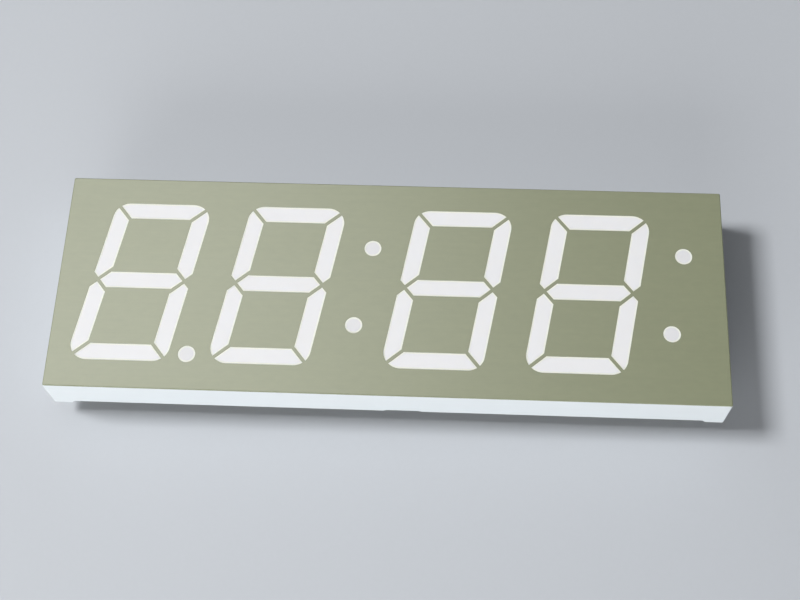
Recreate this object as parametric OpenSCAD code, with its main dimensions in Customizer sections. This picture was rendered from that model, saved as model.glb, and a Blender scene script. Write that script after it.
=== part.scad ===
// Four-digit seven-segment LED display of the moulded reflector kind, with a decimal
// point, a colon between the pairs of digits, a second colon at the end, and two rows
// of round pins.
//
// +X runs along the digits, +Y towards their tops and +Z out of the face. The origin is
// the middle of the pin field, on the seating plane under the feet. Outlines of the
// segments are worked out in upright digit coordinates (u, v) and then leant over.

/* [Case] */
// Width of the case, along the digits
case_w = 98; // [95:0.1:104]
// Height of the case, across the digits
case_h = 33.8; // [32.6:0.1:40]
// Depth from the seating plane to the printed face
case_d = 7; // [6:0.1:10]
// Thickness of the outer walls
wall = 1.1; // [0.8:0.05:1.3]
// Chamfer along the edges of the face
edge_c = 0.1; // [0.02:0.01:0.14]
// Thickness of the face plate between the light wells
plate_t = 1; // [0.6:0.1:1.6]
// Height of the corner feet below the rim
foot_h = 0.6; // [0.4:0.05:0.8]
// Length of a foot along each wall that it stands under
foot_l = 2.7; // [1.6:0.1:4]
// Run of the slope at the inner end of a foot
foot_slope = 0.4; // [0.1:0.05:0.8]

/* [Rim notch] */
// Width of the shallow notch in the rim of the lower long wall
notch_w = 5.6; // [3:0.1:10]
// Height of the notch above the rim
notch_h = 0.3; // [0.1:0.05:0.4]
// Place of the notch's middle along the wall
notch_x = 2.5; // [-20:0.5:20]
// Run of the slope at each end of the notch
notch_slope = 0.5; // [0.2:0.1:1]

/* [Face print] */
// Thickness of the grey print on the face
print_t = 0.06; // [0.03:0.01:0.12]
// Bare white edge between the print and the outside of the case
print_margin = 0.15; // [0.05:0.05:0.5]

/* [Digits] */
// Height of a digit, over the outside of its bars
digit_h = 25.4; // [23:0.1:26]
// Width of a digit, over the outside of its upright bars
digit_w = 14.65; // [13:0.05:15.5]
// Width of every bar
stroke = 2.55; // [2.2:0.05:2.8]
// Gap between neighbouring bars
gap = 0.5; // [0.4:0.02:0.6]
// Radius of a digit's four outer corners
corner_r = 2.5; // [2:0.1:3]
// Distance from a digit's outer edge to where the gaps of its middle bar cross
cross_in = 0.85; // [0.8:0.05:1]
// Lean of the digits and colons
slant = 10; // [4:0.5:12]
// Distance between the two digits of a pair
pair_pitch = 20.4; // [19.5:0.1:21]
// Distance between the second and the third digit, where the colon stands
colon_pitch = 25; // [24:0.1:26]
// Offset of the four digits from the middle of the case
digits_x = -3.8; // [-4.5:0.1:-3]

/* [Dots] */
// Diameter of the decimal point and of the colon dots
dot_d = 2.52; // [2.3:0.02:2.7]
// Height of the colon dots above and below the middle of the digits
colon_rise = 6.2; // [5:0.1:8]
// Distance from the first digit's middle to its decimal point, before the lean
point_u = 10; // [9.8:0.1:10.2]
// Distance from the last digit's middle to the end colon
end_colon = 12.9; // [12:0.1:13.5]

/* [Light wells] */
// How far a well's walls draw in between the face and the circuit board
well_draft = 0.5; // [0.2:0.05:0.6]
// Thickness of the reflector walls outside the wells
web = 0.8; // [0.6:0.05:0.9]
// Depth of the cast epoxy's surface below the print
lens_sink = 0.1; // [0.02:0.01:0.2]
// Thickness of the ribs between the reflector walls and the outer walls
rib_t = 0.8; // [0.5:0.1:1.2]
// Distance of each rib from the middle of its digit
rib_u = 4; // [2:0.1:5]

/* [Circuit board] */
// Thickness of the circuit board
board_t = 1; // [0.8:0.1:1.2]
// Clearance between the edge of the board and the walls
board_fit = 0.15; // [0.05:0.01:0.3]
// Thickness of the epoxy that seals the back
seal_t = 1; // [0.8:0.1:1.2]
// Depth of the seal's surface inside the rim
seal_sink = 0.4; // [0.4:0.05:0.6]

/* [LED dice] */
// Width of an LED die
die_w = 0.3; // [0.2:0.01:0.36]
// Height of an LED die
die_h = 0.2; // [0.1:0.01:0.3]
// Distance between the two dice of a bar
die_step = 4; // [3:0.1:5]
// Diameter of a bond wire
wire_d = 0.04; // [0.03:0.005:0.06]
// Reach of a bond wire from the middle of its die to the board
wire_reach = 0.5; // [0.4:0.01:0.55]

/* [Pins] */
// Diameter of a pin
pin_d = 0.5; // [0.4:0.01:0.6]
// Length of a pin below the seating plane
pin_l = 3.4; // [2.5:0.1:5]
// How much wider a pin's tapered head is at the top of the board than its shank
pin_flare = 0.1; // [0.04:0.02:0.16]
// Length of the chamfer at a pin's tip
pin_tip = 0.15; // [0.05:0.01:0.2]
// Distance between neighbouring pins of a row
pin_pitch = 2.54; // [2:0.01:2.6]
// Distance from the outside of a long wall to the row of pins beside it
row_inset = 2.93; // [2.7:0.01:5]
// Pins in each row
row_pins = 8; // [5:1:8]
// Clearance between the wide end of a pin's head and its hole, on diameter
hole_fit = 0.2; // [0.1:0.01:0.3]
// Diameter of a solder joint where it meets the board
solder_d = 1.3; // [1.1:0.05:1.4]
// Height of a solder joint along its pin
solder_h = 0.5; // [0.3:0.05:0.6]

/* [Hidden] */
$fn = 48;
SEGMENTS = "abcdefg";
DIGITS = [0 : 3];
DOTS = ["decimal_point", "colon_upper", "colon_lower", "end_colon_upper", "end_colon_lower"];

function segment_name(i, s) = str("digit_", i + 1, "_segment_", s);
function dice_name(i) = str("digit_", i + 1, "_dice");
function pin_name(n) = str("pin_", n);

// Levels, from the back to the face
seal_z = foot_h + seal_sink;
board_z = seal_z + seal_t;
well_z = board_z + board_t;
face_z = case_d - print_t;
lens_z = case_d - lens_sink;
well_h = face_z - well_z;

// Extra length of what cuts through a face, and of what is sunk into a wall to join it
over = 0.2;
weld = 0.3;

inner_w = case_w - 2 * wall;
inner_h = case_h - 2 * wall;

// Hole in the board that takes a pin's head
hole_d = pin_d + pin_flare + hole_fit;

// Distance between the two rows of pins
row_pitch = case_h - 2 * row_inset;

// Half sizes of a digit, outside and inside its bars
half_w = digit_w / 2;
half_h = digit_h / 2;
side_in = half_w - stroke;
bar_in = half_h - stroke;

// Where the middle bar's gaps cross, at the left
cross_u = cross_in - half_w;

// Steps that points of the rounded corners are spread over
arc_steps = 5;

// Sides of a bond wire, which is too thin to need more
wire_sides = 6;

// ---- Places ----

function digit_x(i) =
    digits_x + (i < 2 ? -1 : 1) * colon_pitch / 2 + [-1, 0, 0, 1][i] * pair_pitch;

function lean(u, v) = [u + v * tan(slant), v];

function dot_at(name) =
    name == "decimal_point" ? [digit_x(0), 0] + lean(point_u, dot_d / 2 - half_h) :
    name == "colon_upper" ? [digits_x, 0] + lean(0, colon_rise) :
    name == "colon_lower" ? [digits_x, 0] + lean(0, -colon_rise) :
    name == "end_colon_upper" ? [digit_x(3) + end_colon, 0] + lean(0, colon_rise) :
    [digit_x(3) + end_colon, 0] + lean(0, -colon_rise);

// Pins are numbered along the lower row from the left, then back along the upper row
function pin_at(n) =
    let (lower = n <= row_pins, step = lower ? n - 1 : 2 * row_pins - n)
    [(step - (row_pins - 1) / 2) * pin_pitch, (lower ? -1 : 1) * row_pitch / 2];

// Middle of a bar and the direction that it runs in
function bar_middle(s) =
    let (u = half_w - stroke / 2, v = half_h - stroke / 2)
    s == "a" ? lean(0, v) :
    s == "b" ? lean(u, half_h / 2) :
    s == "c" ? lean(u, -half_h / 2) :
    s == "d" ? lean(0, -v) :
    s == "e" ? lean(-u, -half_h / 2) :
    s == "f" ? lean(-u, half_h / 2) :
    [0, 0];
function bar_angle(s) = (s == "a" || s == "d" || s == "g") ? 0 : 90 - slant;

// ---- Outlines of the bars, each drawn in by t from its full size ----

// The gaps run at 45 degrees on an upright digit. These are their angles once leant
// over, and half the distance along u that a gap takes from its middle line.
rising = atan2(1, 1 + tan(slant));
falling = atan2(1, 1 - tan(slant));
function rise(t) = (gap / 2 + t) / sin(rising);
function fall(t) = (gap / 2 + t) / sin(falling);
function side(t) = t / cos(slant);

// Middles of the rounded corners, at the top left and the top right
corner_v = half_h - corner_r;
left_corner = lean(-half_w, corner_v) + [side(corner_r), 0];
right_corner = lean(half_w, corner_v) - [side(corner_r), 0];

// Angle on a circle at which a line from inside the circle meets it
function meets(from, dir, middle, r) =
    let (
        d = from - middle,
        along = d * dir,
        reach = sqrt(along * along - d * d + r * r) - along,
        hit = d + reach * dir)
    atan2(hit[1], hit[0]);

function arc(middle, r, start, end) =
    [for (k = [0 : arc_steps])
        let (q = start + (end - start) * k / arc_steps)
        middle + r * [cos(q), sin(q)]];

function left_cut(from, t) =
    meets(from, [-cos(falling), sin(falling)], left_corner, corner_r - t);
function right_cut(from, t) =
    meets(from, [cos(rising), sin(rising)], right_corner, corner_r - t);

function top_bar(t) =
    let (
        v = bar_in + t,
        left = lean(fall(t) - side_in - t, v),
        right = lean(side_in + t - rise(t), v))
    concat(
        [left, right],
        arc(right_corner, corner_r - t, right_cut(right, t), 90),
        arc(left_corner, corner_r - t, 90, left_cut(left, t)));

function upper_left_bar(t) =
    let (
        u = -side_in - side(t),
        outer = side(t) - half_w,
        inner_top = lean(u, bar_in + side(t) - fall(t)))
    concat(
        [lean(cross_u + (fall(t) - rise(t)) / 2, (fall(t) + rise(t)) / 2)],
        [lean(u, u - cross_u + rise(t))],
        [inner_top],
        arc(left_corner, corner_r - t, left_cut(inner_top, t), 180 - slant),
        [lean(outer, cross_u - outer + fall(t))]);

function upper_right_bar(t) =
    let (
        u = side_in + side(t),
        outer = half_w - side(t),
        inner_top = lean(u, bar_in + side(t) - rise(t)))
    concat(
        [lean((fall(t) - rise(t)) / 2 - cross_u, (fall(t) + rise(t)) / 2)],
        [lean(outer, outer + cross_u + rise(t))],
        arc(right_corner, corner_r - t, -slant, right_cut(inner_top, t)),
        [inner_top],
        [lean(u, fall(t) - cross_u - u)]);

function middle_bar(t) =
    let (
        v = stroke / 2 - t,
        half = [
            lean(cross_u + (fall(t) + rise(t)) / 2, (fall(t) - rise(t)) / 2),
            lean(cross_u + v + fall(t), -v),
            lean(-cross_u - v - rise(t), -v)])
    concat(half, turned(half));

function turned(points) = [for (p = points) -p];

function bar(s, t) =
    s == "a" ? top_bar(t) :
    s == "b" ? upper_right_bar(t) :
    s == "c" ? turned(upper_left_bar(t)) :
    s == "d" ? turned(top_bar(t)) :
    s == "e" ? turned(upper_right_bar(t)) :
    s == "f" ? upper_left_bar(t) :
    middle_bar(t);

// A leaning box with rounded corners, grown by g beyond a digit's outer edges
function digit_outline(g) =
    let (top = concat(
        arc(right_corner, corner_r + g, -slant, 90),
        arc(left_corner, corner_r + g, 90, 180 - slant)))
    concat(top, turned(top));

// A leaning window inside a digit, a wall's thickness clear of the wells around it
function window_outline() =
    let (u = side_in - side(web), low = stroke / 2 + web, high = bar_in - web)
    [lean(-u, low), lean(u, low), lean(u, high), lean(-u, high)];

// ---- Light wells ----

// Solid between two outlines with as many points as each other
module tapered(lower, upper, z0, z1) {
    n = len(lower);
    polyhedron(
        points = concat(
            [for (p = lower) [p[0], p[1], z0]],
            [for (p = upper) [p[0], p[1], z1]]),
        faces = concat(
            [[for (k = [0 : n - 1]) k]],
            [[for (k = [n - 1 : -1 : 0]) n + k]],
            [for (k = [0 : n - 1]) [k, n + k, n + (k + 1) % n]],
            [for (k = [0 : n - 1]) [k, n + (k + 1) % n, (k + 1) % n]]));
}

// A well runs past the face and the board, so that it cuts cleanly
module bar_well(s) {
    past = well_draft * over / well_h;
    tapered(bar(s, well_draft + past), bar(s, -past), well_z - over, face_z + over);
}

module dot_well() {
    past = well_draft * over / well_h;
    translate([0, 0, well_z - over])
        cylinder(
            h = well_h + 2 * over,
            r1 = dot_d / 2 - well_draft - past,
            r2 = dot_d / 2 + past);
}

module every_well() {
    for (i = DIGITS, s = SEGMENTS)
        translate([digit_x(i), 0, 0]) bar_well(s);
    for (name = DOTS)
        translate(dot_at(name)) dot_well();
}

// Keeps what lies between the circuit board and the lens surface
module lens_slab() {
    translate([-case_w, -case_h, well_z])
        cube([2 * case_w, 2 * case_h, lens_z - well_z]);
}

// ---- Housing ----

// Outline of what the feet leave open under a wall of the given length
function rim_relief(length) =
    let (low = length / 2 - foot_l, high = low - foot_slope)
    [[-low, -over], [low, -over], [low, 0], [high, foot_h], [-high, foot_h], [-low, 0]];

// Upright section of the case across the given length, with a chamfer beside the face
function case_section(length) =
    let (x = length / 2)
    [[-x, 0], [x, 0], [x, face_z - edge_c], [x - edge_c, face_z],
        [edge_c - x, face_z], [-x, face_z - edge_c]];

module case_block() {
    intersection() {
        rotate([90, 0, 0])
            linear_extrude(case_h, center = true) polygon(case_section(case_w));
        rotate([90, 0, 90])
            linear_extrude(case_w, center = true) polygon(case_section(case_h));
    }
}

module skirt() {
    difference() {
        case_block();
        translate([-inner_w / 2, -inner_h / 2, -over])
            cube([inner_w, inner_h, face_z - plate_t + over]);
        rotate([90, 0, 0])
            linear_extrude(case_h + 2 * over, center = true)
                polygon(rim_relief(case_w));
        rotate([90, 0, 90])
            linear_extrude(case_w + 2 * over, center = true)
                polygon(rim_relief(case_h));
        rim_notch();
    }
}

module rim_notch() {
    half = notch_w / 2;
    translate([notch_x, -inner_h / 2 + over, foot_h])
        rotate([90, 0, 0])
            linear_extrude(wall + 2 * over)
                polygon([
                    [-half, -over], [half, -over], [half, 0],
                    [half - notch_slope, notch_h], [notch_slope - half, notch_h],
                    [-half, 0]]);
}

// Walls round the wells of one digit, open in the digit's two windows
module digit_core() {
    translate([0, 0, well_z])
        difference() {
            linear_extrude(well_h) polygon(digit_outline(web));
            translate([0, 0, -over])
                linear_extrude(well_h - plate_t + over) {
                    polygon(window_outline());
                    polygon(turned(window_outline()));
                }
        }
}

module dot_core() {
    translate([0, 0, well_z])
        cylinder(h = well_h, r = dot_d / 2 + web);
}

// Ribs from one digit's core to the long walls
module core_ribs() {
    length = inner_h / 2 - half_h - web + 2 * weld;
    for (u = [-rib_u, rib_u], up = [-1, 1])
        translate([
            u + up * half_h * tan(slant) - rib_t / 2,
            up > 0 ? half_h + web - weld : -inner_h / 2 - weld,
            well_z])
            cube([rib_t, length, well_h]);
}

module housing() {
    color("whitesmoke")
        difference() {
            union() {
                skirt();
                for (i = DIGITS)
                    translate([digit_x(i), 0, 0]) {
                        digit_core();
                        core_ribs();
                    }
                for (name = DOTS)
                    translate(dot_at(name)) dot_core();
            }
            every_well();
        }
}

// ---- Face print ----

module face_print() {
    color([0.66, 0.67, 0.58])
        translate([0, 0, face_z])
            linear_extrude(print_t)
                difference() {
                    square([case_w - 2 * print_margin, case_h - 2 * print_margin], center = true);
                    for (i = DIGITS, s = SEGMENTS)
                        translate([digit_x(i), 0]) polygon(bar(s, 0));
                    for (name = DOTS)
                        translate(dot_at(name)) circle(d = dot_d);
                }
}

// ---- LED dice and their bond wires ----

module die() {
    translate([-die_w / 2, -die_w / 2, well_z]) cube([die_w, die_w, die_h]);
}

// A loop from the top of a die that comes down on the board beside it
module bond_wire() {
    translate([wire_reach / 2, 0, well_z + die_h])
        rotate([90, 0, 0])
            rotate_extrude(angle = 180)
                translate([wire_reach / 2, 0]) circle(d = wire_d, $fn = wire_sides);
    translate([wire_reach, 0, well_z]) cylinder(h = die_h, d = wire_d, $fn = wire_sides);
}

// Both dice of a bar stand die_step apart, with their wires towards the bar's middle
module at_bar_dice(s) {
    translate(bar_middle(s))
        rotate(bar_angle(s))
            for (turn = [0, 180])
                rotate(turn)
                    translate([-die_step / 2, 0]) children();
}

module digit_dice(i) {
    color("gold")
        translate([digit_x(i), 0, 0])
            for (s = SEGMENTS) at_bar_dice(s) die();
}

module dot_dice() {
    color("gold")
        for (name = DOTS) translate(dot_at(name)) die();
}

module bond_wires() {
    color("goldenrod") {
        for (i = DIGITS, s = SEGMENTS)
            translate([digit_x(i), 0, 0]) at_bar_dice(s) bond_wire();
        for (name = DOTS)
            translate(dot_at(name)) bond_wire();
    }
}

// ---- Cast epoxy in the wells ----

module segment(i, s) {
    color([0.93, 0.93, 0.94])
        translate([digit_x(i), 0, 0])
            difference() {
                intersection() {
                    bar_well(s);
                    lens_slab();
                }
                at_bar_dice(s) {
                    die();
                    bond_wire();
                }
            }
}

module dot(name) {
    color([0.9, 0.9, 0.9])
        translate(dot_at(name))
            difference() {
                intersection() {
                    dot_well();
                    lens_slab();
                }
                die();
                bond_wire();
            }
}

// ---- Circuit board, pins, solder and seal ----

module circuit_board() {
    color("darkgreen")
        difference() {
            translate([0, 0, board_z + board_t / 2])
                cube([inner_w - 2 * board_fit, inner_h - 2 * board_fit, board_t], center = true);
            for (n = [1 : 2 * row_pins])
                translate(pin_at(n))
                    translate([0, 0, board_z - over])
                        cylinder(h = board_t + 2 * over, d = hole_d);
        }
}

// A pin's straight shank reaches up to the rim, and its tapered head on from there
function pin_r(z) = (pin_d + pin_flare * max(0, z - foot_h) / (well_z - foot_h)) / 2;

module pin_shape() {
    translate([0, 0, -pin_l])
        cylinder(h = pin_tip, d1 = pin_d - pin_tip, d2 = pin_d);
    translate([0, 0, pin_tip - pin_l])
        cylinder(h = foot_h + pin_l - pin_tip, d = pin_d);
    translate([0, 0, foot_h])
        cylinder(h = well_z - foot_h, r1 = pin_r(foot_h), r2 = pin_r(well_z));
}

module pin(n) {
    color("silver") translate(pin_at(n)) pin_shape();
}

// The joint fills the hole round the pin and flows out in a hollow cone behind the board
module solder_shape() {
    low_r = pin_r(board_z - solder_h);
    flare = solder_d / 2 - low_r;
    rotate_extrude()
        polygon(concat(
            [[pin_r(well_z), well_z]],
            [[low_r, board_z - solder_h]],
            [for (q = [90 / arc_steps : 90 / arc_steps : 90])
                [low_r + flare * (1 - cos(q)), board_z - solder_h * (1 - sin(q))]],
            [[hole_d / 2, board_z]],
            [[hole_d / 2, well_z]]));
}

module solder_joints() {
    color("lightgray")
        for (n = [1 : 2 * row_pins]) translate(pin_at(n)) solder_shape();
}

module back_seal() {
    color([0.88, 0.87, 0.8])
        difference() {
            translate([-inner_w / 2, -inner_h / 2, seal_z])
                cube([inner_w, inner_h, seal_t]);
            for (n = [1 : 2 * row_pins])
                translate(pin_at(n)) {
                    pin_shape();
                    solder_shape();
                }
        }
}

housing();
face_print();
circuit_board();
back_seal();
solder_joints();
bond_wires();
for (i = DIGITS, s = SEGMENTS)
    segment(i, s);
for (name = DOTS)
    dot(name);
for (i = DIGITS)
    digit_dice(i);
dot_dice();
for (n = [1 : 2 * row_pins])
    pin(n);
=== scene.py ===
"""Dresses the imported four-digit display: its white moulding, grey face print, cast epoxy
bars and dots, poured back seal, and tinned pins."""

import math

import bmesh
import bpy
from bpy.props import FloatProperty, FloatVectorProperty, IntProperty, PointerProperty
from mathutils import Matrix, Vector


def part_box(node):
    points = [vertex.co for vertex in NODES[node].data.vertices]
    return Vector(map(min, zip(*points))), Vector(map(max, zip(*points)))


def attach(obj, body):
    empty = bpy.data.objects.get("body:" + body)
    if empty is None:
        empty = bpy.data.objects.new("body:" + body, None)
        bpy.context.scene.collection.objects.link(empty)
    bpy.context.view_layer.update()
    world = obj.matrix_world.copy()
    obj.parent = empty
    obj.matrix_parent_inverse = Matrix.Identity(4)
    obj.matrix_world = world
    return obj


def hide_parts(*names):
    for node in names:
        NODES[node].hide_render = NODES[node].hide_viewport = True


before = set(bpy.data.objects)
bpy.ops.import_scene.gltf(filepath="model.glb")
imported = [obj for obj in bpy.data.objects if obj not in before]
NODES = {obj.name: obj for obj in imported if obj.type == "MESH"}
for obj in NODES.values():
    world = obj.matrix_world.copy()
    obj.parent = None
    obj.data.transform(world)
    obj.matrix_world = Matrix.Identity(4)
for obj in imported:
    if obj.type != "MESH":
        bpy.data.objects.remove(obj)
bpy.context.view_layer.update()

bl_info = {
    "name": "Four-digit seven-segment display",
    "version": (1, 0, 0),
    "blender": (4, 5, 0),
    "location": "3D View > Sidebar > Display",
    "description": "Finishes a packed numeral display: moulding, print, cast epoxy, seal and pins",
    "category": "Object",
}

MM = 0.001
BODY = "root"

BARS = sorted(name for name in NODES if "_segment_" in name)
DOTS = ["decimal_point", "colon_upper", "colon_lower", "end_colon_upper", "end_colon_lower"]
DICE = sorted(name for name in NODES if name.endswith("_dice"))
PINS = sorted(name for name in NODES if name.startswith("pin_"))

CASE_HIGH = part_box("housing")[1]
PRINT_LOW, PRINT_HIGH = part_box("face_print")
SEAL_LOW, SEAL_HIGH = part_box("back_seal")
PIN_LOW, PIN_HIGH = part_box(PINS[0])

# Points closer than this are one point
WELD = 0.0005 * MM
# Details smaller than this are dropped from an outline before it is inset, and heights
# within it are one height
SPECK = 0.02 * MM
# Faces that turn less than this from each other are one face
FLAT = math.radians(0.5)
# Edges that turn more than this are sharp
SHARP = math.radians(30)
# Points this near a piece's outside lie on its edges, chamfers included
NEAR = 0.15 * MM
# A face whose normal climbs less than this is upright
LEVEL = 0.1
# Faces across a rounded case corner and across its other edges
CORNER_STEPS = 4
EDGE_STEPS = 2
# Rings from a liquid's wall to the end of its climb: how many, how much they crowd at the
# wall, and how fast the height dies off
POUR_STEPS = 6
POUR_CROWDING = 1.7
POUR_FALL = 3
# Faces round the collar that the seal draws up at a pin
COLLAR_SIDES = 24
# Faces up the rounding at a pin's tip, and its width as a share of its height
TIP_STEPS = 4
TIP_NARROWING = 0.7
# A Mix node's sockets for colours, which share their names with those for numbers
MIX_FACTOR = 0
MIX_FIRST = 6
MIX_SECOND = 7
MIX_RESULT = 2
# Distance from the floor's middle to its sides, and the distances between which it fades to
# the backdrop
FLOOR_REACH = 3000 * MM
FADE_NEAR = 120 * MM
FADE_FAR = 700 * MM

WHITE = (1, 1, 1)
# Angle over which the fill's light spreads
FILL_SPREAD = math.radians(100)

# The camera's place, its turn about each axis, the nearest that it sees, and the width of
# its film and its focal length, both in millimetres
CAMERA_PLACE = Vector((9.413, -79.701, 183.919)) * MM
CAMERA_TURN = [math.radians(degrees) for degrees in (23.764, 1.459, 2.391)]
CAMERA_CLIP = 10 * MM
CAMERA_SENSOR = 36
CAMERA_LENS = 59.65


def colour_property(name, description, default):
    """A colour, written as linear red, green and blue from 0 to 1."""
    return FloatVectorProperty(
        name=name, description=description, default=default, subtype="COLOR", min=0, max=1
    )


def length_property(name, description, default):
    """A length in metres."""
    return FloatProperty(
        name=name, description=description, default=default, unit="LENGTH", precision=6, min=0
    )


# ---- What a user would change ----


class HousingSettings(bpy.types.PropertyGroup):
    """The white moulding"""

    colour: colour_property("Plastic", "Colour of the white moulding", (0.785, 0.83, 0.85))
    corner_radius: length_property(
        "Corner radius", "Radius of the case's four upright corners", 0.22 * MM
    )
    edge_radius: length_property(
        "Edge radius", "Radius of the small edges round the face and the rim", 0.03 * MM
    )
    grain_depth: length_property(
        "Grain depth", "Depth of the mould's fine spark texture", 0.005 * MM
    )


class PrintSettings(bpy.types.PropertyGroup):
    """The grey print on the face"""

    lap: length_property("Lap", "Distance that the print runs on over the case's edge", 0.12 * MM)
    lap_drop: length_property("Drop", "Height that it falls on the way", 0.07 * MM)
    colour: colour_property("Ink", "Colour of the grey print", (0.215, 0.232, 0.138))
    roughness: FloatProperty(
        name="Roughness", description="Roughness of the dried ink", default=0.38,
        min=0, max=1, subtype="FACTOR",
    )
    streaks: FloatProperty(
        name="Streaks", description="Strength of the squeegee's streaks along the face",
        default=0.05, min=0, max=1, subtype="FACTOR",
    )


class EpoxySettings(bpy.types.PropertyGroup):
    """The milky epoxy in the bars and dots"""

    colour: colour_property("Bars", "Colour of the milky epoxy in the bars", (0.832, 0.834, 0.846))
    dot_colour: colour_property(
        "Dots", "Colour of the milky epoxy in the dots", (0.768, 0.770, 0.784)
    )
    rim_colour: colour_property(
        "Rim", "Colour where the epoxy runs thin over its well's white wall", (0.895, 0.905, 0.82)
    )
    fill: length_property(
        "Fill", "Height that the epoxy stands above the plain level of its well", 0.075 * MM
    )
    climb: length_property(
        "Climb", "Height that the epoxy climbs up the wall of its well", 0.01 * MM
    )
    reach: length_property(
        "Reach", "Distance from the wall over which the epoxy climbs", 0.30 * MM
    )


class SealSettings(bpy.types.PropertyGroup):
    """The epoxy poured over the back"""

    colour: colour_property("Seal", "Colour of the epoxy on the back", (0.62, 0.60, 0.47))
    climb: length_property("Climb", "Height that the seal climbs up the case's walls", 0.25 * MM)
    reach: length_property("Reach", "Distance from the wall over which it climbs", 0.9 * MM)
    collar_radius: length_property(
        "Collar", "Radius of the collar that it draws up round a pin", 0.62 * MM
    )
    collar_height: length_property("Collar height", "Height of that collar", 0.3 * MM)


class PinSettings(bpy.types.PropertyGroup):
    """The tinned pins and their solder"""

    colour: colour_property("Tin", "Colour of the tin on the pins", (0.74, 0.74, 0.72))
    solder_colour: colour_property("Solder", "Colour of the solder", (0.78, 0.78, 0.77))
    roughness: FloatProperty(
        name="Roughness", description="Roughness of the tin", default=0.30,
        min=0, max=1, subtype="FACTOR",
    )
    solder_roughness: FloatProperty(
        name="Solder roughness", description="Roughness of the solder", default=0.22,
        min=0, max=1, subtype="FACTOR",
    )
    shank_radius: length_property("Shank", "Radius of a pin below its head", 0.25 * MM)
    flare_from: length_property(
        "Flare from", "Height at which a pin starts to widen towards its head", 0.6 * MM
    )
    tip_round: length_property("Tip", "Height of the rounding at a pin's tip", 0.165 * MM)
    sides: IntProperty(name="Sides", description="Faces round a pin", default=32, min=8, max=64)


class InsideSettings(bpy.types.PropertyGroup):
    """The board and what sits on it"""

    board_colour: colour_property(
        "Board", "Colour of the board's solder resist", (0.03, 0.17, 0.07)
    )
    die_colour: colour_property("Dice", "Colour of the dice", (0.62, 0.42, 0.12))
    wire_colour: colour_property("Wires", "Colour of the bond wires", (0.90, 0.66, 0.25))


class StageSettings(bpy.types.PropertyGroup):
    """The floor, the backdrop and the light"""

    floor_colour: colour_property("Floor", "Colour of the floor", (0.50, 0.525, 0.56))
    backdrop_colour: colour_property(
        "Backdrop", "Colour that the floor fades to in the distance", (0.62, 0.64, 0.67)
    )
    key_power: FloatProperty(
        name="Key", description="Power of the softbox at the back left", default=35.4,
        min=0, unit="POWER",
    )
    sheen_power: FloatProperty(
        name="Sheen", description="Power of the high softbox that glows in the print's left",
        default=5.6, min=0, unit="POWER",
    )
    fill_power: FloatProperty(
        name="Fill", description="Power of the softbox in front", default=0.87,
        min=0, unit="POWER",
    )
    sky: FloatProperty(
        name="Sky", description="Strength of the even light from all round", default=0.12,
        min=0, max=2,
    )


SETTINGS = {
    "display_housing": HousingSettings,
    "display_print": PrintSettings,
    "display_epoxy": EpoxySettings,
    "display_seal": SealSettings,
    "display_pins": PinSettings,
    "display_inside": InsideSettings,
    "display_stage": StageSettings,
}


# ---- Shader nodes ----


class Wire:
    """A shader socket that sums can be written with. Each operation adds its Math node."""

    def __init__(self, graph, socket):
        self.graph = graph
        self.socket = socket

    def _math(self, operation, first, second):
        return self.graph.node(
            "ShaderNodeMath", {"operation": operation}, {0: first, 1: second}
        )

    def __add__(self, other):
        return self._math("ADD", self, other)

    def __sub__(self, other):
        return self._math("SUBTRACT", self, other)

    def __mul__(self, other):
        return self._math("MULTIPLY", self, other)

    def __rsub__(self, other):
        return self._math("SUBTRACT", other, self)

    __radd__ = __add__
    __rmul__ = __mul__


class Graph:
    """A node tree whose nodes are added one call at a time."""

    def __init__(self, tree, shader_type):
        self.tree = tree
        self.shader = next(node for node in tree.nodes if node.type == shader_type)

    def node(self, kind, settings=None, sockets=None, output=0):
        """Adds a node, sets it, feeds its sockets, and returns one of its outputs."""
        made = self.tree.nodes.new(kind)
        for name, value in (settings or {}).items():
            setattr(made, name, value)
        for name, value in (sockets or {}).items():
            self._join(made.inputs[name], value)
        return Wire(self, made.outputs[output])

    def _join(self, socket, value):
        if isinstance(value, Wire):
            self.tree.links.new(value.socket, socket)
        elif socket.type == "RGBA" and len(value) == 3:
            socket.default_value = (*value, 1)
        else:
            socket.default_value = value

    def feed(self, socket, value):
        """Sets or links one socket of the tree's shader."""
        self._join(self.shader.inputs[socket], value)

    def mix(self, factor, first, second):
        """Colour between two colours."""
        return self.node(
            "ShaderNodeMix", {"data_type": "RGBA"},
            {MIX_FACTOR: factor, MIX_FIRST: first, MIX_SECOND: second}, MIX_RESULT,
        )

    def edge(self, value, low, high):
        """0 where value is under low, 1 where it is over high, and a smooth step between."""
        return self.node(
            "ShaderNodeMapRange",
            {"interpolation_type": "SMOOTHSTEP"},
            {"Value": value, "From Min": low, "From Max": high},
        )

    def seen(self):
        """1 on rays that show an image: straight, mirrored or through clear things."""
        camera, glossy, clear = (
            self.node("ShaderNodeLightPath", output=output)
            for output in ("Is Camera Ray", "Is Glossy Ray", "Is Transmission Ray")
        )
        return self.edge(camera + glossy + clear, low=0.0, high=1.0)


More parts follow.
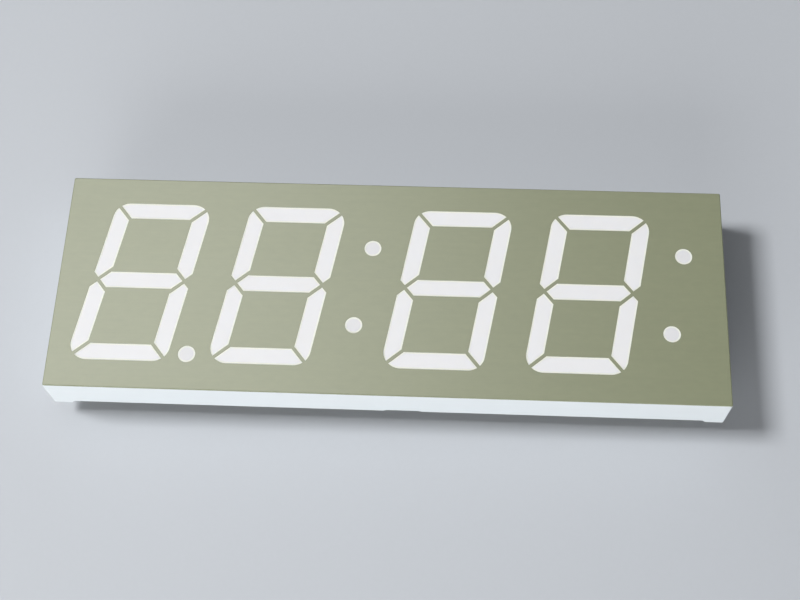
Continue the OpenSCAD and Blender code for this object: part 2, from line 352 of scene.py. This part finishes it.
class Finish(Graph):
    """A material and its nodes."""

    def __init__(self, name, constants):
        self.material = bpy.data.materials.new(name)
        self.material.use_nodes = True
        super().__init__(self.material.node_tree, "BSDF_PRINCIPLED")
        for socket, value in constants.items():
            self.shader.inputs[socket].default_value = value

    def millimetres(self, stretch=(1, 1, 1)):
        """Object coordinates in millimetres, stretched to make a pattern run one way."""
        place = self.node("ShaderNodeTexCoord", output="Object")
        scale = [factor / MM for factor in stretch]
        return self.node("ShaderNodeMapping", None, {"Vector": place, "Scale": scale})

    def noise(self, size, detail=3.0, stretch=(1, 1, 1)):
        """Cloudy pattern about 0, from -0.5 to 0.5, with lumps of the given size in millimetres."""
        cloud = self.node(
            "ShaderNodeTexNoise",
            None,
            {"Vector": self.millimetres(stretch), "Scale": 1 / size, "Detail": detail},
            "Fac",
        )
        return cloud - 0.5

    def shade(self, colour, amount):
        """The colour made lighter or darker by amount, a share of it that varies about 0."""
        return self.node(
            "ShaderNodeVectorMath",
            {"operation": "SCALE"},
            {0: colour, "Scale": amount + 1.0},
        )

    def bump(self, height, depth):
        """Surface relief from a pattern that varies about 0, depth metres from low to high."""
        normal = self.node(
            "ShaderNodeBump", None, {"Height": height, "Distance": depth, "Strength": 1.0}
        )
        self.feed("Normal", normal)


def white_moulding(settings):
    """Cool white thermoplastic, satin from a lightly textured mould."""
    finish = Finish(
        "white_moulding",
        {"IOR": 1.49, "Subsurface Weight": 0.12, "Subsurface Radius": (0.8, 0.8, 0.8),
         "Subsurface Scale": 0.6 * MM},
    )
    clouds = finish.noise(9)
    grain = finish.noise(0.16, detail=2)
    draw_marks = finish.noise(0.5, detail=2, stretch=(1, 1, 0.12))
    finish.feed("Base Color", finish.shade(tuple(settings.colour), clouds * 0.04))
    finish.feed("Roughness", 0.42 + clouds * 0.10 + grain * 0.10 + draw_marks * 0.08)
    finish.bump(grain + draw_marks * 0.5, depth=settings.grain_depth)
    return finish.material


def grey_print(settings):
    """Olive grey ink, pulled along the face, so its faint streaks run that way."""
    finish = Finish("grey_print", {"IOR": 1.5})
    fine_streaks = finish.noise(0.22, detail=2, stretch=(0.012, 1, 1))
    broad_streaks = finish.noise(0.9, detail=2, stretch=(0.02, 1, 1))
    streaks = fine_streaks + broad_streaks
    mottle = finish.noise(0.75, detail=3, stretch=(0.5, 1, 1))
    clouds = finish.noise(14, detail=2)
    pigment = finish.noise(0.07, detail=2)
    tone = streaks * settings.streaks + mottle * 0.10 + clouds * 0.06 + pigment * 0.08
    finish.feed("Base Color", finish.shade(tuple(settings.colour), tone))
    finish.feed("Roughness", settings.roughness + streaks * 0.05 + pigment * 0.12)
    finish.bump(pigment + streaks * 0.6, depth=0.004 * MM)
    return finish.material


def milky_epoxy(name, settings, colour):
    """Diffused epoxy, thinner and creamier where it climbs the white wall of its well."""
    finish = Finish(
        name,
        {"IOR": 1.53, "Specular IOR Level": 0.1, "Subsurface Weight": 0.5,
         "Subsurface Radius": (1.0, 0.95, 0.85), "Subsurface Scale": 0.3 * MM},
    )
    nearness = finish.node("ShaderNodeAttribute", {"attribute_name": "nearness"}, None, "Fac")
    rim = finish.edge(nearness, low=0.0, high=0.45)
    clouds = finish.noise(2.2, detail=4)
    filler = finish.noise(0.11, detail=2)
    inside = finish.shade(tuple(colour), clouds * 0.03 + filler * 0.03)
    finish.feed("Base Color", finish.mix(rim, inside, tuple(settings.rim_colour)))
    finish.feed("Roughness", 0.46 + clouds * 0.08 + filler * 0.08)
    finish.bump(clouds * 2 + filler, depth=0.002 * MM)
    return finish.material


def sealing_epoxy(settings):
    """Poured epoxy with drifts of filler, small bubbles and a few dull patches."""
    finish = Finish(
        "sealing_epoxy",
        {"IOR": 1.55, "Subsurface Weight": 0.2, "Subsurface Radius": (1.0, 0.9, 0.6),
         "Subsurface Scale": 0.8 * MM},
    )
    drifts = finish.noise(11, detail=4)
    clouds = finish.noise(2.5, detail=3)
    cell = finish.node(
        "ShaderNodeTexVoronoi", {"feature": "F1"},
        {"Vector": finish.millimetres(), "Scale": 0.45, "Randomness": 1.0}, "Distance",
    )
    bubble = 1 - finish.edge(cell, low=0.05, high=0.11)
    tone = drifts * 0.22 + clouds * 0.08 + bubble * 0.18
    finish.feed("Base Color", finish.shade(tuple(settings.colour), tone))
    finish.feed("Roughness", 0.20 + drifts * 0.22 + clouds * 0.08)
    finish.bump(clouds + bubble * 1.5, depth=0.012 * MM)
    return finish.material


def tin(name, colour, roughness):
    """Tin that was drawn along the pin, a little dull in patches."""
    finish = Finish(name, {"Metallic": 1.0})
    drawn = finish.noise(0.05, detail=2, stretch=(1, 1, 0.05))
    patches = finish.noise(0.8, detail=3)
    finish.feed("Base Color", finish.shade(tuple(colour), patches * 0.14 + drawn * 0.06))
    finish.feed("Roughness", roughness + patches * 0.25 + drawn * 0.15)
    finish.bump(drawn + patches * 0.7, depth=0.003 * MM)
    return finish.material


def board_laminate(colour):
    """Glass cloth laminate under green solder resist."""
    finish = Finish("board_laminate", {"IOR": 1.5})
    warp = finish.noise(0.4, detail=1, stretch=(1, 0.25, 1))
    weft = finish.noise(0.4, detail=1, stretch=(0.25, 1, 1))
    weave = warp + weft
    clouds = finish.noise(12, detail=2)
    finish.feed("Base Color", finish.shade(tuple(colour), weave * 0.35 + clouds * 0.15))
    finish.feed("Roughness", 0.34 + weave * 0.12)
    finish.bump(weave, depth=0.006 * MM)
    return finish.material


def die_crystal(colour):
    """Amber crystal, a little glassy, with fine facets."""
    finish = Finish("die_crystal", {"IOR": 2.0, "Metallic": 0.3})
    facets = finish.noise(0.09, detail=2)
    finish.feed("Base Color", finish.shade(tuple(colour), facets * 0.5))
    finish.feed("Roughness", 0.28 + facets * 0.2)
    return finish.material


def gold_wire(colour):
    """Gold, drawn thin."""
    finish = Finish("gold_wire", {"Metallic": 1.0})
    drawn = finish.noise(0.03, detail=2)
    finish.feed("Base Color", finish.shade(tuple(colour), drawn * 0.1))
    finish.feed("Roughness", 0.22 + drawn * 0.15)
    return finish.material


def pale_floor(settings):
    """Matt card that keeps the shadow near the case and fades to an even tone far from it."""
    finish = Finish("pale_floor", {"Specular IOR Level": 0.3})
    grain = finish.noise(0.6, detail=3)
    finish.feed("Base Color", finish.shade(tuple(settings.floor_colour), grain * 0.03))
    finish.feed("Roughness", 0.6 + grain * 0.1)
    place = finish.node("ShaderNodeTexCoord", output="Object")
    distance = finish.node(
        "ShaderNodeVectorMath", {"operation": "LENGTH"}, {0: place}, "Value"
    )
    glow = finish.node(
        "ShaderNodeEmission", None, {"Color": tuple(settings.backdrop_colour), "Strength": 1.0}
    )
    faded = finish.node(
        "ShaderNodeMixShader", None,
        {0: finish.edge(distance, low=FADE_NEAR, high=FADE_FAR) * finish.seen(),
         1: Wire(finish, finish.shader.outputs[0]), 2: glow},
    )
    output = next(node for node in finish.tree.nodes if node.type == "OUTPUT_MATERIAL")
    finish.tree.links.new(faded.socket, output.inputs["Surface"])
    return finish.material


# ---- Meshes ----


def joined_copy(node):
    """The CAD node's mesh, with its loose triangles joined and its flat faces made whole."""
    bm = bmesh.new()
    bm.from_mesh(NODES[node].data)
    bmesh.ops.remove_doubles(bm, verts=bm.verts, dist=WELD)
    bmesh.ops.dissolve_limit(bm, angle_limit=FLAT, verts=bm.verts, edges=bm.edges)
    for face in bm.faces:
        face.smooth = False
    return bm


def finish_piece(bm, name, material, nodes):
    """Makes the piece's object, which stands for its CAD nodes and rides with the case."""
    mesh = bpy.data.meshes.new(name)
    bm.to_mesh(mesh)
    bm.free()
    mesh.materials.append(material)
    piece = bpy.data.objects.new(name, mesh)
    bpy.context.scene.collection.objects.link(piece)
    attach(piece, BODY)
    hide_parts(*nodes)
    return piece


def dress_node(name, material):
    """Gives a CAD node, whose shape stays, its finish."""
    mesh = NODES[name].data
    mesh.materials.clear()
    mesh.materials.append(material)


def corner_edges(bm, high):
    """Upright edges at the four corners of a piece that reaches out to high each way."""
    return [
        edge for edge in bm.edges
        if all(
            abs(vert.co.x) > high.x - NEAR and abs(vert.co.y) > high.y - NEAR
            for vert in edge.verts
        )
        and abs(edge.verts[0].co.z - edge.verts[1].co.z) > WELD
    ]


def round_edges(bm, edges, radius, steps):
    """Rounds the edges and shades the new faces as one curve."""
    made = bmesh.ops.bevel(
        bm, geom=edges, offset=radius, offset_type="OFFSET", segments=steps, profile=0.5,
        affect="EDGES", clamp_overlap=True, material=-1,
    )
    for face in made["faces"]:
        face.smooth = True


def climbing_steps(reach, climb):
    """Steps inwards and heights of a liquid's surface as it falls away from its wall.

    The height dies off smoothly: steep at the wall and level where the reach ends."""
    places = [
        reach * (ring / POUR_STEPS) ** POUR_CROWDING for ring in range(POUR_STEPS + 1)
    ]
    heights = [climb * (1 - place / reach) ** POUR_FALL for place in places]
    steps = [after - before for before, after in zip(places, places[1:])]
    return steps, heights


def pour_surface(bm, face, level, reach, climb, up, nearness=None):
    """Shapes a flat face as cured liquid that climbs its walls; up is 1 or -1 along Z.

    The layer nearness gets 1 at the wall and 0 where the climb ends. An even offset would
    fold the ring over at the bars' pointed ends, so it is left off."""
    steps, heights = climbing_steps(reach, climb)

    def settle(height, away):
        for vert in face.verts:
            vert.co.z = level + up * height
            if nearness is not None:
                vert[nearness] = 1 - away / reach

    away = 0
    settle(heights[0], away)
    for step, height in zip(steps, heights[1:]):
        ring = bmesh.ops.inset_region(
            bm, faces=[face], thickness=step, depth=0, use_even_offset=False,
            use_boundary=True,
        )["faces"]
        for part in ring:
            part.smooth = True
        away += step
        settle(height, away)
    face.smooth = True


def spun(profile, centre, sides):
    """Closed round piece from (radius, height) points, turned about an upright axis."""
    bm = bmesh.new()
    verts = [bm.verts.new((centre.x + radius, centre.y, height)) for radius, height in profile]
    edges = [bm.edges.new(pair) for pair in zip(verts, verts[1:])]
    bmesh.ops.spin(
        bm, geom=verts + edges, cent=(centre.x, centre.y, 0), axis=(0, 0, 1),
        angle=math.tau, steps=sides, use_merge=True, use_duplicate=False,
    )
    bmesh.ops.remove_doubles(bm, verts=bm.verts, dist=WELD)
    bmesh.ops.recalc_face_normals(bm, faces=bm.faces)
    for face in bm.faces:
        face.smooth = True
    return bm


def add_mesh(bm, other):
    """Adds another bmesh to this one, as separate shells of one piece."""
    mesh = bpy.data.meshes.new("shell")
    other.to_mesh(mesh)
    other.free()
    bm.from_mesh(mesh)
    bpy.data.meshes.remove(mesh)


def pin_middle(name):
    """Point on a pin's axis, halfway up."""
    low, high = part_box(name)
    return (low + high) / 2


# ---- Pieces and stage ----


def outer_edges(bm):
    """Sharp edges that stand out along the case's outside and on its rim behind the seal."""

    def outside(vert):
        return abs(vert.co.x) > CASE_HIGH.x - NEAR or abs(vert.co.y) > CASE_HIGH.y - NEAR

    def behind(vert):
        return vert.co.z < SEAL_LOW.z - SPECK

    return [
        edge for edge in bm.edges
        if edge.is_manifold and edge.is_convex and edge.calc_face_angle() > SHARP
        and (all(map(outside, edge.verts)) or all(map(behind, edge.verts)))
    ]


class DISPLAY_OT_housing(bpy.types.Operator):
    """Rounds the edges of the white moulding and gives it its plastic"""

    bl_idname = "display.housing"
    bl_label = "Housing"

    def execute(self, context):
        settings = context.scene.display_housing
        bm = joined_copy("housing")
        corners = corner_edges(bm, CASE_HIGH)
        if not corners:
            raise RuntimeError("the case has no upright corner edges to round")
        round_edges(bm, corners, settings.corner_radius, CORNER_STEPS)
        round_edges(bm, outer_edges(bm), settings.edge_radius, EDGE_STEPS)
        material = white_moulding(settings)
        finish_piece(bm, "moulded_housing", material, ["housing"])
        return {"FINISHED"}


def border_faces(bm, margin):
    """Upright faces round the print's outside, up to margin in from its sides."""
    return [
        face for face in bm.faces
        if abs(face.normal.z) < LEVEL and all(
            abs(vert.co.x) > PRINT_HIGH.x - margin or abs(vert.co.y) > PRINT_HIGH.y - margin
            for vert in face.verts
        )
    ]


class DISPLAY_OT_face_print(bpy.types.Operator):
    """Laps the print over the face's chamfered edge and gives it its ink"""

    bl_idname = "display.face_print"
    bl_label = "Face print"

    def execute(self, context):
        settings = context.scene.display_print
        bm = joined_copy("face_print")
        radius = context.scene.display_housing.corner_radius
        round_edges(bm, corner_edges(bm, PRINT_HIGH), radius, CORNER_STEPS)
        bm.normal_update()
        border = border_faces(bm, 2 * radius)
        if not border:
            raise RuntimeError("the print has no border to lap over the edge")
        made = bmesh.ops.extrude_face_region(bm, geom=border)["geom"]
        bmesh.ops.delete(bm, geom=border, context="FACES")
        lip = [item for item in made if isinstance(item, bmesh.types.BMVert)]
        lapped = PRINT_HIGH + Vector((settings.lap, settings.lap, 0))
        stretch = [lapped.x / PRINT_HIGH.x, lapped.y / PRINT_HIGH.y, 1]
        bmesh.ops.scale(bm, verts=lip, vec=stretch)
        bmesh.ops.translate(bm, verts=lip, vec=(0, 0, -settings.lap_drop))
        finish_piece(bm, "lapped_print", grey_print(settings), ["face_print"])
        return {"FINISHED"}


def cast(node, settings, material):
    """Casts one bar or dot, whose surface climbs the edge of its well."""
    bm = joined_copy(node)
    nearness = bm.verts.layers.float.new("nearness")
    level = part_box(node)[1].z
    mouth = [vert for vert in bm.verts if vert.co.z > level - WELD]
    bmesh.ops.remove_doubles(bm, verts=mouth, dist=SPECK)
    top = max(bm.faces, key=lambda face: face.calc_center_median().z)
    level += settings.fill
    pour_surface(bm, top, level, settings.reach, settings.climb, up=1, nearness=nearness)
    finish_piece(bm, "cast_" + node, material, [node])


class DISPLAY_OT_bars(bpy.types.Operator):
    """Casts the milky epoxy bars of the four digits"""

    bl_idname = "display.bars"
    bl_label = "Bars"

    def execute(self, context):
        settings = context.scene.display_epoxy
        material = milky_epoxy("milky_epoxy", settings, settings.colour)
        for node in BARS:
            cast(node, settings, material)
        return {"FINISHED"}


class DISPLAY_OT_dots(bpy.types.Operator):
    """Casts the epoxy dots: the decimal point and both colons"""

    bl_idname = "display.dots"
    bl_label = "Dots"

    def execute(self, context):
        settings = context.scene.display_epoxy
        material = milky_epoxy("milky_epoxy_dots", settings, settings.dot_colour)
        for node in DOTS:
            cast(node, settings, material)
        return {"FINISHED"}


def collar_profile(settings, pin_radius):
    """(radius, height) points of a pin's collar: its base in the seal, then its slope inwards."""
    reach = settings.collar_radius - pin_radius
    steps, heights = climbing_steps(reach, settings.collar_height)
    radii = [pin_radius + sum(steps[:ring]) for ring in range(len(heights))]
    sunk = SEAL_LOW.z + settings.collar_height
    tip = SEAL_LOW.z - settings.collar_height
    slope = [
        (radius, SEAL_LOW.z - height)
        for radius, height in zip(reversed(radii), reversed(heights))
    ]
    return [(0, sunk), (settings.collar_radius, sunk), *slope, (0, tip)]


class DISPLAY_OT_back_seal(bpy.types.Operator):
    """Pours the seal over the back, drawn up at the walls and round each pin"""

    bl_idname = "display.back_seal"
    bl_label = "Back seal"

    def execute(self, context):
        settings = context.scene.display_seal
        bm = bmesh.new()
        bmesh.ops.create_cube(bm, size=1)
        bmesh.ops.scale(bm, verts=bm.verts, vec=SEAL_HIGH - SEAL_LOW)
        bmesh.ops.translate(bm, verts=bm.verts, vec=(SEAL_HIGH + SEAL_LOW) / 2)
        back = min(bm.faces, key=lambda face: face.calc_center_median().z)
        pour_surface(bm, back, SEAL_LOW.z, settings.reach, settings.climb, up=-1)
        profile = collar_profile(settings, context.scene.display_pins.shank_radius)
        for pin in PINS:
            add_mesh(bm, spun(profile, pin_middle(pin), COLLAR_SIDES))
        material = sealing_epoxy(settings)
        finish_piece(bm, "poured_back_seal", material, ["back_seal"])
        return {"FINISHED"}


def pin_profile(settings):
    """(radius, height) points of a pin, from its rounded tip up to its tapered head."""
    head = (PIN_HIGH.x - PIN_LOW.x) / 2
    shank, rounding = settings.shank_radius, settings.tip_round
    tip, top = PIN_LOW.z, PIN_HIGH.z
    quarter = [math.pi / 2 * step / TIP_STEPS for step in range(TIP_STEPS + 1)]
    narrowing = rounding * TIP_NARROWING
    bend = [
        (shank - narrowing * (1 - math.sin(angle)), tip + rounding * (1 - math.cos(angle)))
        for angle in quarter
    ]
    return [(0, tip), *bend, (shank, settings.flare_from), (head, top), (0, top)]


class DISPLAY_OT_pins(bpy.types.Operator):
    """Turns the tinned pins and finishes their solder"""

    bl_idname = "display.pins"
    bl_label = "Pins"

    def execute(self, context):
        settings = context.scene.display_pins
        material = tin("tinned_pin", settings.colour, settings.roughness)
        profile = pin_profile(settings)
        for name in PINS:
            bm = spun(profile, pin_middle(name), settings.sides)
            finish_piece(bm, "tinned_" + name, material, [name])
        solder = tin("bright_solder", settings.solder_colour, settings.solder_roughness)
        dress_node("solder_joints", solder)
        return {"FINISHED"}


class DISPLAY_OT_inside(bpy.types.Operator):
    """Finishes the circuit board, the dice and their wires"""

    bl_idname = "display.inside"
    bl_label = "Board, dice and wires"

    def execute(self, context):
        settings = context.scene.display_inside
        dress_node("circuit_board", board_laminate(settings.board_colour))
        crystal = die_crystal(settings.die_colour)
        for node in DICE:
            dress_node(node, crystal)
        dress_node("bond_wires", gold_wire(settings.wire_colour))
        return {"FINISHED"}


def add_softbox(name, way, distance, size, power, aim):
    """An area lamp that shines at aim from the direction way."""
    light = bpy.data.lights.new(name, "AREA")
    light.shape = "RECTANGLE"
    light.size, light.size_y = size
    light.energy = power
    lamp = bpy.data.objects.new(name, light)
    bpy.context.scene.collection.objects.link(lamp)
    way = Vector(way).normalized()
    lamp.location = Vector(aim) + way * distance
    lamp.rotation_euler = way.to_track_quat("Z", "Y").to_euler()
    lamp.visible_camera = False
    return lamp


def lay_floor(settings):
    """A card under the pins, so wide that it has faded to the backdrop before it ends."""
    bm = bmesh.new()
    bmesh.ops.create_grid(bm, x_segments=1, y_segments=1, size=FLOOR_REACH)
    bmesh.ops.translate(bm, verts=bm.verts, vec=(0, 0, PIN_LOW.z))
    mesh = bpy.data.meshes.new("floor")
    bm.to_mesh(mesh)
    bm.free()
    mesh.materials.append(pale_floor(settings))
    floor = bpy.data.objects.new("floor", mesh)
    bpy.context.scene.collection.objects.link(floor)


def light_all_round(settings):
    """Even white light from the world, which shows the backdrop's colour where it is seen."""
    world = bpy.data.worlds.new("studio")
    world.use_nodes = True
    around = Graph(world.node_tree, "BACKGROUND")
    seen = around.seen()
    around.feed("Color", around.mix(seen, WHITE, tuple(settings.backdrop_colour)))
    around.feed("Strength", settings.sky + seen * (1 - settings.sky))
    bpy.context.scene.world = world


def hang_softboxes(settings):
    """Key and sheen aim at the middle of the face, and the fill at its left end."""
    middle = (0, 0, PRINT_HIGH.z)
    left_end = (PRINT_LOW.x, 0, PRINT_HIGH.z)
    add_softbox(
        "key", way=(-0.60, 0.06, 0.80), distance=2.00, size=(0.50, 0.50),
        power=settings.key_power, aim=middle,
    )
    sheen = add_softbox(
        "sheen", way=(-0.270, 0.345, 0.87), distance=0.90, size=(0.50, 0.50),
        power=settings.sheen_power, aim=middle,
    )
    sheen.visible_diffuse = False
    fill = add_softbox(
        "fill", way=(-0.22, -0.94, 0.26), distance=0.55, size=(0.50, 0.25),
        power=settings.fill_power, aim=left_end,
    )
    fill.data.spread = FILL_SPREAD
    fill.visible_glossy = False


def place_camera(scene):
    """The camera that looks down at the face from a little in front of it."""
    lens = bpy.data.cameras.new("camera")
    lens.sensor_width = CAMERA_SENSOR
    lens.lens = CAMERA_LENS
    lens.clip_start = CAMERA_CLIP
    camera = bpy.data.objects.new("camera", lens)
    camera.location = CAMERA_PLACE
    camera.rotation_euler = CAMERA_TURN
    scene.collection.objects.link(camera)
    scene.camera = camera


class DISPLAY_OT_stage(bpy.types.Operator):
    """Lays the pale floor, hangs the softboxes and sets the camera"""

    bl_idname = "display.stage"
    bl_label = "Stage"

    def execute(self, context):
        settings = context.scene.display_stage
        lay_floor(settings)
        light_all_round(settings)
        hang_softboxes(settings)
        place_camera(context.scene)
        context.scene.view_settings.view_transform = "Standard"
        return {"FINISHED"}


STEPS = [
    DISPLAY_OT_housing,
    DISPLAY_OT_face_print,
    DISPLAY_OT_bars,
    DISPLAY_OT_dots,
    DISPLAY_OT_back_seal,
    DISPLAY_OT_pins,
    DISPLAY_OT_inside,
    DISPLAY_OT_stage,
]


class DISPLAY_PT_sidebar(bpy.types.Panel):
    """Lists the steps and the settings that each one reads"""

    bl_idname = "DISPLAY_PT_sidebar"
    bl_label = "Seven-segment display"
    bl_space_type = "VIEW_3D"
    bl_region_type = "UI"
    bl_category = "Display"

    def draw(self, context):
        for step in STEPS:
            self.layout.operator(step.bl_idname)
        for name, group in SETTINGS.items():
            box = self.layout.box()
            box.label(text=name.replace("display_", "").capitalize())
            for prop in group.__annotations__:
                box.prop(getattr(context.scene, name), prop)


CLASSES = [*SETTINGS.values(), *STEPS, DISPLAY_PT_sidebar]


def register():
    """Adds the settings, the steps and the panel to Blender."""
    for cls in CLASSES:
        bpy.utils.register_class(cls)
    for name, group in SETTINGS.items():
        setattr(bpy.types.Scene, name, PointerProperty(type=group))


def unregister():
    """Takes them away again."""
    for name in SETTINGS:
        delattr(bpy.types.Scene, name)
    for cls in reversed(CLASSES):
        bpy.utils.unregister_class(cls)


def main():
    """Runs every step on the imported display."""
    register()
    for step in STEPS:
        group, name = step.bl_idname.split(".")
        getattr(getattr(bpy.ops, group), name)()


if __name__ == "__main__":
    main()
